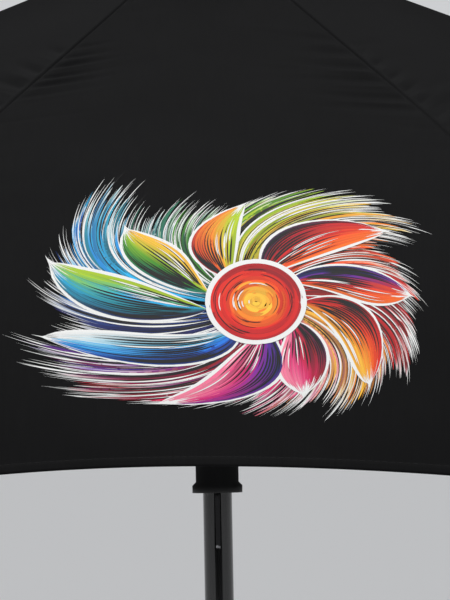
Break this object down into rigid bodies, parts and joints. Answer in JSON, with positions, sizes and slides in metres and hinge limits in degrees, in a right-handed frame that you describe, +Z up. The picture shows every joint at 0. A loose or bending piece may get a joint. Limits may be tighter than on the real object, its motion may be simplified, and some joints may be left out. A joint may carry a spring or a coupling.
{
  "type": "stick umbrella",
  "caption": "Open stick umbrella with a fabric canopy on sprung ribs and stretchers, a sliding runner, a long ferrule and a crook handle.",
  "frame": {"origin": "middle of the grip, on the shaft's axis", "axes": "+Z up the shaft to the ferrule; -Y towards the middle of the printed front gore; +X the way the crook bends"},
  "size_m": [0.961, 0.961, 0.8671],
  "materials": {
    "black_plastic": "satin black",
    "black_steel": "black coated steel",
    "bright_steel": "bright plated steel",
    "canopy_fabric": "black plain-weave polyester with a printed front gore",
    "soft_grip": "matt black soft-touch",
    "strap_fabric": "black webbing"
  },
  "bodies": {
    "shaft_and_handle": {"shaft": "black_steel", "crown_notch": "black_plastic", "top_cap": "black_plastic", "ferrule": "black_plastic", "ferrule_tip": "bright_steel", "handle": "soft_grip", "handle_collar": "bright_steel", "upper_latch": "bright_steel", "lower_latch": "bright_steel"},
    "runner": {"runner": "black_plastic"},
    "push_button": {"push_button": "black_plastic"},
    "rib_1_frame": {"rib_1": "black_steel", "rib_tip_1": "black_plastic", "gore_1_left": "canopy_fabric", "gore_8_right": "canopy_fabric"},
    "stretcher_1_arm": {"stretcher_1": "black_steel"},
    "rib_2_frame": {"rib_2": "black_steel", "rib_tip_2": "black_plastic", "gore_2_left": "canopy_fabric", "gore_1_right": "canopy_fabric"},
    "stretcher_2_arm": {"stretcher_2": "black_steel"},
    "rib_3_frame": {"rib_3": "black_steel", "rib_tip_3": "black_plastic", "gore_3_left": "canopy_fabric", "gore_2_right": "canopy_fabric"},
    "stretcher_3_arm": {"stretcher_3": "black_steel"},
    "rib_4_frame": {"rib_4": "black_steel", "rib_tip_4": "black_plastic", "gore_4_left": "canopy_fabric", "gore_3_right": "canopy_fabric"},
    "stretcher_4_arm": {"stretcher_4": "black_steel"},
    "rib_5_frame": {"rib_5": "black_steel", "rib_tip_5": "black_plastic", "gore_5_left": "canopy_fabric", "gore_4_right": "canopy_fabric", "tie_strap": "strap_fabric"},
    "stretcher_5_arm": {"stretcher_5": "black_steel"},
    "rib_6_frame": {"rib_6": "black_steel", "rib_tip_6": "black_plastic", "gore_6_left": "canopy_fabric", "gore_5_right": "canopy_fabric"},
    "stretcher_6_arm": {"stretcher_6": "black_steel"},
    "rib_7_frame": {"rib_7": "black_steel", "rib_tip_7": "black_plastic", "gore_7_left": "canopy_fabric", "gore_6_right": "canopy_fabric"},
    "stretcher_7_arm": {"stretcher_7": "black_steel"},
    "rib_8_frame": {"rib_8": "black_steel", "rib_tip_8": "black_plastic", "gore_8_left": "canopy_fabric", "gore_7_right": "canopy_fabric"},
    "stretcher_8_arm": {"stretcher_8": "black_steel"}
  },
  "joints": [
    {"name": "runner_slide", "type": "slide", "parent": "shaft_and_handle", "child": "runner", "axis": [0, 0, -1], "range_m": [0, 0.27391]},
    {"name": "button_press", "type": "slide", "parent": "shaft_and_handle", "child": "push_button", "axis": [0, 1, 0], "range_m": [0, 0.0014], "stiffness_N_per_m": 400},
    {"name": "rib_1_hinge", "type": "hinge", "parent": "shaft_and_handle", "child": "rib_1_frame", "pos_m": [-0.00421, -0.01016, 0.665], "axis": [0.9239, -0.3827, 0], "range_deg": [-0.5, 62.5], "deforming": ["gore_1_left", "gore_8_right"]},
    {"name": "stretcher_1_hinge", "type": "hinge", "parent": "rib_1_frame", "child": "stretcher_1_arm", "pos_m": [-0.08183, -0.19757, 0.58556], "axis": [-0.9239, 0.3827, 0], "range_deg": [-1, 125]},
    {"name": "rib_2_hinge", "type": "hinge", "parent": "shaft_and_handle", "child": "rib_2_frame", "pos_m": [0.00421, -0.01016, 0.665], "axis": [0.9239, 0.3827, 0], "range_deg": [-0.5, 62.5], "deforming": ["gore_2_left", "gore_1_right"]},
    {"name": "stretcher_2_hinge", "type": "hinge", "parent": "rib_2_frame", "child": "stretcher_2_arm", "pos_m": [0.08183, -0.19757, 0.58556], "axis": [-0.9239, -0.3827, 0], "range_deg": [-1, 125]},
    {"name": "rib_3_hinge", "type": "hinge", "parent": "shaft_and_handle", "child": "rib_3_frame", "pos_m": [0.01016, -0.00421, 0.665], "axis": [0.3827, 0.9239, 0], "range_deg": [-0.5, 62.5], "deforming": ["gore_3_left", "gore_2_right"]},
    {"name": "stretcher_3_hinge", "type": "hinge", "parent": "rib_3_frame", "child": "stretcher_3_arm", "pos_m": [0.19757, -0.08183, 0.58556], "axis": [-0.3827, -0.9239, 0], "range_deg": [-1, 125]},
    {"name": "rib_4_hinge", "type": "hinge", "parent": "shaft_and_handle", "child": "rib_4_frame", "pos_m": [0.01016, 0.00421, 0.665], "axis": [-0.3827, 0.9239, 0], "range_deg": [-0.5, 62.5], "deforming": ["gore_4_left", "gore_3_right"]},
    {"name": "stretcher_4_hinge", "type": "hinge", "parent": "rib_4_frame", "child": "stretcher_4_arm", "pos_m": [0.19757, 0.08183, 0.58556], "axis": [0.3827, -0.9239, 0], "range_deg": [-1, 125]},
    {"name": "rib_5_hinge", "type": "hinge", "parent": "shaft_and_handle", "child": "rib_5_frame", "pos_m": [0.00421, 0.01016, 0.665], "axis": [-0.9239, 0.3827, 0], "range_deg": [-0.5, 62.5], "deforming": ["gore_5_left", "gore_4_right"]},
    {"name": "stretcher_5_hinge", "type": "hinge", "parent": "rib_5_frame", "child": "stretcher_5_arm", "pos_m": [0.08183, 0.19757, 0.58556], "axis": [0.9239, -0.3827, 0], "range_deg": [-1, 125]},
    {"name": "rib_6_hinge", "type": "hinge", "parent": "shaft_and_handle", "child": "rib_6_frame", "pos_m": [-0.00421, 0.01016, 0.665], "axis": [-0.9239, -0.3827, 0], "range_deg": [-0.5, 62.5], "deforming": ["gore_6_left", "gore_5_right"]},
    {"name": "stretcher_6_hinge", "type": "hinge", "parent": "rib_6_frame", "child": "stretcher_6_arm", "pos_m": [-0.08183, 0.19757, 0.58556], "axis": [0.9239, 0.3827, 0], "range_deg": [-1, 125]},
    {"name": "rib_7_hinge", "type": "hinge", "parent": "shaft_and_handle", "child": "rib_7_frame", "pos_m": [-0.01016, 0.00421, 0.665], "axis": [-0.3827, -0.9239, 0], "range_deg": [-0.5, 62.5], "deforming": ["gore_7_left", "gore_6_right"]},
    {"name": "stretcher_7_hinge", "type": "hinge", "parent": "rib_7_frame", "child": "stretcher_7_arm", "pos_m": [-0.19757, 0.08183, 0.58556], "axis": [0.3827, 0.9239, 0], "range_deg": [-1, 125]},
    {"name": "rib_8_hinge", "type": "hinge", "parent": "shaft_and_handle", "child": "rib_8_frame", "pos_m": [-0.01016, -0.00421, 0.665], "axis": [0.3827, -0.9239, 0], "range_deg": [-0.5, 62.5], "deforming": ["gore_8_left", "gore_7_right"]},
    {"name": "stretcher_8_hinge", "type": "hinge", "parent": "rib_8_frame", "child": "stretcher_8_arm", "pos_m": [-0.19757, -0.08183, 0.58556], "axis": [-0.3827, 0.9239, 0], "range_deg": [-1, 125]}
  ],
  "couplings": [
    {"joint": "rib_1_hinge", "follows": "runner_slide", "rad_per_m": 3.9506},
    {"joint": "stretcher_1_hinge", "follows": "runner_slide", "rad_per_m": 7.9013},
    {"joint": "rib_2_hinge", "follows": "runner_slide", "rad_per_m": 3.9506},
    {"joint": "stretcher_2_hinge", "follows": "runner_slide", "rad_per_m": 7.9013},
    {"joint": "rib_3_hinge", "follows": "runner_slide", "rad_per_m": 3.9506},
    {"joint": "stretcher_3_hinge", "follows": "runner_slide", "rad_per_m": 7.9013},
    {"joint": "rib_4_hinge", "follows": "runner_slide", "rad_per_m": 3.9506},
    {"joint": "stretcher_4_hinge", "follows": "runner_slide", "rad_per_m": 7.9013},
    {"joint": "rib_5_hinge", "follows": "runner_slide", "rad_per_m": 3.9506},
    {"joint": "stretcher_5_hinge", "follows": "runner_slide", "rad_per_m": 7.9013},
    {"joint": "rib_6_hinge", "follows": "runner_slide", "rad_per_m": 3.9506},
    {"joint": "stretcher_6_hinge", "follows": "runner_slide", "rad_per_m": 7.9013},
    {"joint": "rib_7_hinge", "follows": "runner_slide", "rad_per_m": 3.9506},
    {"joint": "stretcher_7_hinge", "follows": "runner_slide", "rad_per_m": 7.9013},
    {"joint": "rib_8_hinge", "follows": "runner_slide", "rad_per_m": 3.9506},
    {"joint": "stretcher_8_hinge", "follows": "runner_slide", "rad_per_m": 7.9013}
  ]
}
